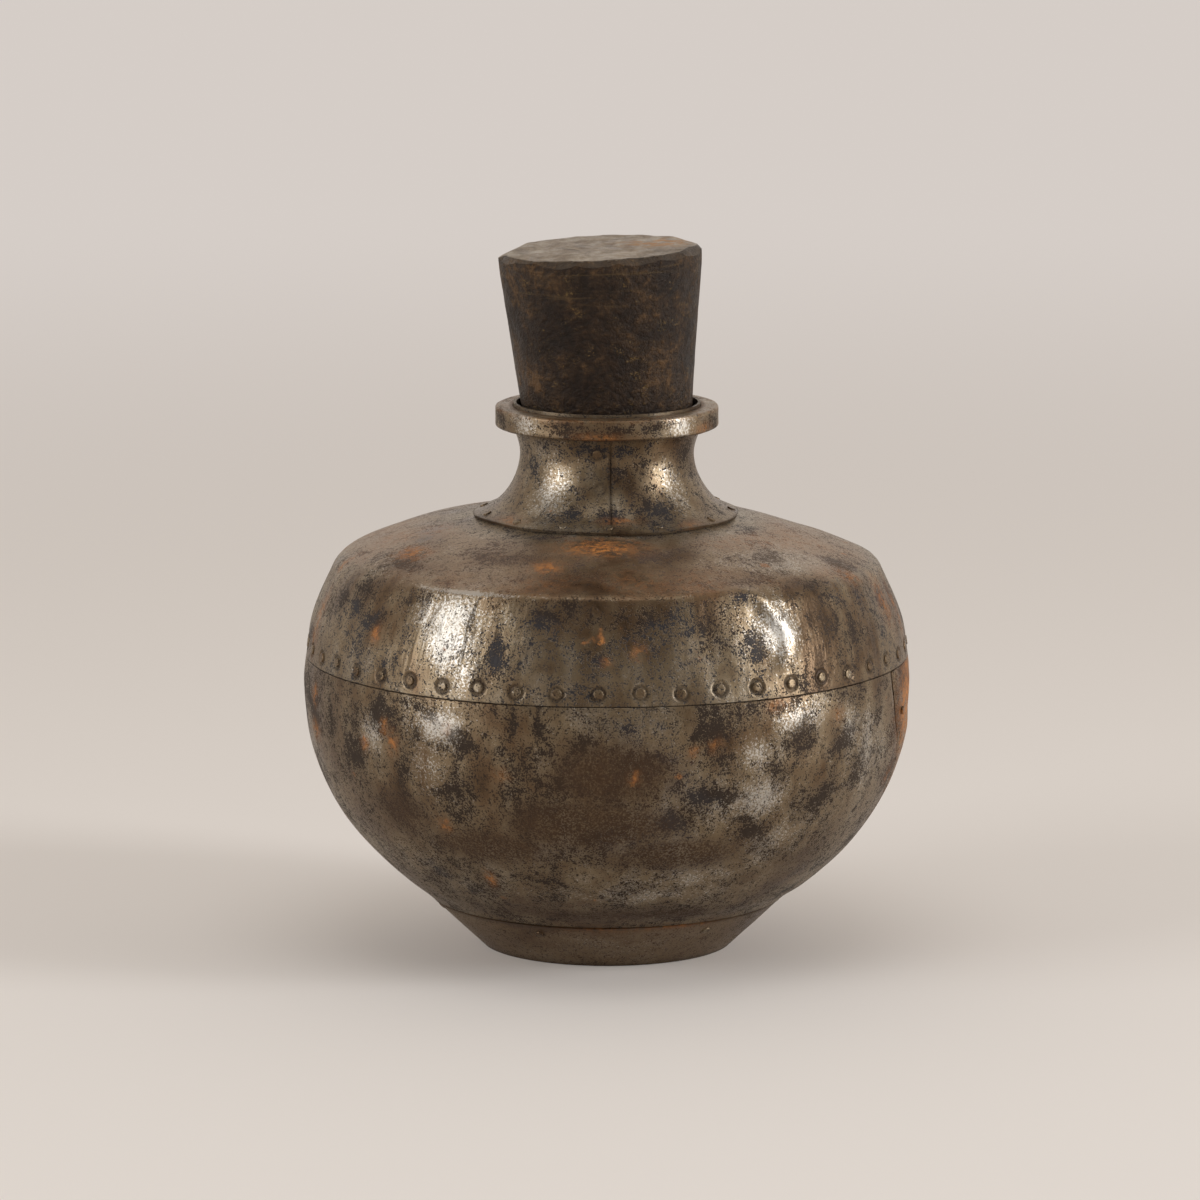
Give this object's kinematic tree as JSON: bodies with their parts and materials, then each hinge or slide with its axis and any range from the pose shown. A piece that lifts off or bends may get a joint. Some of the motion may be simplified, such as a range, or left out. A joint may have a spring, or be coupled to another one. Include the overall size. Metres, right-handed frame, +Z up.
{
  "type": "metal water pot",
  "caption": "Round-bellied riveted iron water pot with a flared neck, a heavy rim ring and a tapered wooden stopper.",
  "frame": {"origin": "centre of the flat foot, on the surface that the pot stands on", "axes": "+Z up through the mouth; -Y is the front, with the neck's lap seam; +X is to the right seen from the front"},
  "size_m": [0.4056, 0.4056, 0.4717],
  "materials": {
    "foot_iron": "beaten sheet iron, brown with soot and old rust",
    "bowl_iron": "beaten sheet iron, worn bright between dark pitting and brown patina",
    "shoulder_iron": "hammered sheet iron, grey-brown with dark pitting and rust spots",
    "neck_iron": "hammered sheet iron, rubbed bright on the curve and dark at the root",
    "ring_iron": "forged bar, worn, with dark scale and a little rust",
    "rivet_iron": "forged rivet heads, dark with worn tops",
    "stopper_wood": "old hardwood, nearly black, waxed by handling"
  },
  "bodies": {
    "pot": {"base_pan": "foot_iron", "bowl_front_half": "bowl_iron", "bowl_back_half": "bowl_iron", "shoulder_shell": "shoulder_iron", "neck_collar": "neck_iron", "rim_ring": "ring_iron", "belly_rivet_01": "rivet_iron", "belly_rivet_02": "rivet_iron", "belly_rivet_03": "rivet_iron", "belly_rivet_04": "rivet_iron", "belly_rivet_05": "rivet_iron", "belly_rivet_06": "rivet_iron", "belly_rivet_07": "rivet_iron", "belly_rivet_08": "rivet_iron", "belly_rivet_09": "rivet_iron", "belly_rivet_10": "rivet_iron", "belly_rivet_11": "rivet_iron", "belly_rivet_12": "rivet_iron", "belly_rivet_13": "rivet_iron", "belly_rivet_14": "rivet_iron", "belly_rivet_15": "rivet_iron", "belly_rivet_16": "rivet_iron", "belly_rivet_17": "rivet_iron", "belly_rivet_18": "rivet_iron", "belly_rivet_19": "rivet_iron", "belly_rivet_20": "rivet_iron", "belly_rivet_21": "rivet_iron", "belly_rivet_22": "rivet_iron", "belly_rivet_23": "rivet_iron", "belly_rivet_24": "rivet_iron", "belly_rivet_25": "rivet_iron", "belly_rivet_26": "rivet_iron", "belly_rivet_27": "rivet_iron", "belly_rivet_28": "rivet_iron", "belly_rivet_29": "rivet_iron", "belly_rivet_30": "rivet_iron", "belly_rivet_31": "rivet_iron", "belly_rivet_32": "rivet_iron", "belly_rivet_33": "rivet_iron", "belly_rivet_34": "rivet_iron", "belly_rivet_35": "rivet_iron", "belly_rivet_36": "rivet_iron", "belly_rivet_37": "rivet_iron", "belly_rivet_38": "rivet_iron", "belly_rivet_39": "rivet_iron", "belly_rivet_40": "rivet_iron", "belly_rivet_41": "rivet_iron", "belly_rivet_42": "rivet_iron", "belly_rivet_43": "rivet_iron", "belly_rivet_44": "rivet_iron", "belly_rivet_45": "rivet_iron", "belly_rivet_46": "rivet_iron", "belly_rivet_47": "rivet_iron", "belly_rivet_48": "rivet_iron", "neck_seam_rivet_upper": "rivet_iron", "neck_seam_rivet_lower": "rivet_iron", "bowl_plug_rivet_left": "rivet_iron", "bowl_plug_rivet_right": "rivet_iron"},
    "stopper": {"wooden_stopper": "stopper_wood"}
  },
  "joints": [
    {"name": "stopper_lift", "type": "slide", "parent": "pot", "child": "stopper", "axis": [-0.0454, 0, 0.999], "range_m": [0, 0.2]}
  ]
}
